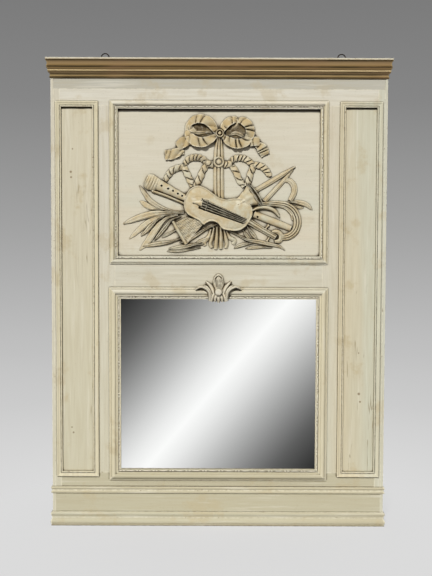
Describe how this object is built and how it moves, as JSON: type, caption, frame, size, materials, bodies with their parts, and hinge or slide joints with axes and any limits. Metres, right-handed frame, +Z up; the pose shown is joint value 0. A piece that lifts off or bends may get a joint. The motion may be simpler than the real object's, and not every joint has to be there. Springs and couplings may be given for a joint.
{
  "type": "trumeau mirror",
  "caption": "Painted wooden overmantel panel with a framed mirror below, a carved musical trophy above, moulded side panels, and hanging rings that swing.",
  "frame": {"origin": "centre of the plinth board's lower face, midway through its thickness", "axes": "+Z up, the front faces -Y, +X to the right for someone facing the front"},
  "size_m": [1.284, 0.0905, 1.7763],
  "materials": {
    "painted_wood": "aged matt paint",
    "painted_carving": "aged matt paint over carving",
    "brown_gilding": "worn brown-gold paint",
    "bare_wood": "unpainted, aged",
    "mirror_glass": "silvered glass",
    "iron": "dark forged iron",
    "steel": "dull"
  },
  "bodies": {
    "root": {"base_moulding_front": "painted_wood", "base_moulding_return_left": "painted_wood", "base_moulding_return_right": "painted_wood", "bottom_rail": "painted_wood", "cornice_front": "brown_gilding", "cornice_return_left": "brown_gilding", "cornice_return_right": "brown_gilding", "cornice_top_board": "brown_gilding", "dado_moulding_front": "painted_wood", "dado_moulding_return_left": "painted_wood", "dado_moulding_return_right": "painted_wood", "frieze_board": "painted_wood", "hanger_screws": "steel", "hanger_strap_left": "iron", "hanger_strap_right": "iron", "joint_pegs": "bare_wood", "left_panel_moulding": "painted_wood", "mid_rail": "painted_wood", "mirror_back_board": "bare_wood", "mirror_bead_strips": "painted_wood", "mirror_glass": "mirror_glass", "mirror_moulding_bottom": "painted_wood", "mirror_moulding_left": "painted_wood", "mirror_moulding_right": "painted_wood", "mirror_moulding_top": "painted_wood", "mirror_ornament": "painted_carving", "mirror_retaining_strips": "bare_wood", "muntin_left": "painted_wood", "muntin_right": "painted_wood", "plinth_board": "painted_wood", "rear_batten_lower": "bare_wood", "rear_batten_upper": "bare_wood", "right_panel_moulding": "painted_wood", "side_board_left": "painted_wood", "side_board_right": "painted_wood", "side_panel_left": "painted_wood", "side_panel_right": "painted_wood", "stile_left": "painted_wood", "stile_right": "painted_wood", "top_rail": "painted_wood", "trophy_bead_strips": "painted_wood", "trophy_bow_ribbon": "painted_carving", "trophy_curved_horn": "painted_carving", "trophy_flute": "painted_carving", "trophy_garland": "painted_carving", "trophy_laurel_leaves": "painted_carving", "trophy_moulding_bottom": "painted_wood", "trophy_moulding_left": "painted_wood", "trophy_moulding_right": "painted_wood", "trophy_moulding_top": "painted_wood", "trophy_music_book": "painted_carving", "trophy_panel": "painted_wood", "trophy_recorder": "painted_carving", "trophy_staff_ribbon": "painted_carving", "trophy_triangle": "painted_carving", "trophy_trumpet": "painted_carving", "trophy_violin": "painted_carving", "trophy_violin_neck": "painted_carving"},
    "ring_left": {"hanger_ring_left": "iron"},
    "ring_right": {"hanger_ring_right": "iron"}
  },
  "joints": [
    {"name": "ring_left_swing", "type": "hinge", "parent": "root", "child": "ring_left", "pos_m": [-0.425, 0.01655, 1.7498], "axis": [-1, 0, 0], "range_deg": [0, 178]},
    {"name": "ring_right_swing", "type": "hinge", "parent": "root", "child": "ring_right", "pos_m": [0.455, 0.01655, 1.7498], "axis": [-1, 0, 0], "range_deg": [0, 178]}
  ]
}
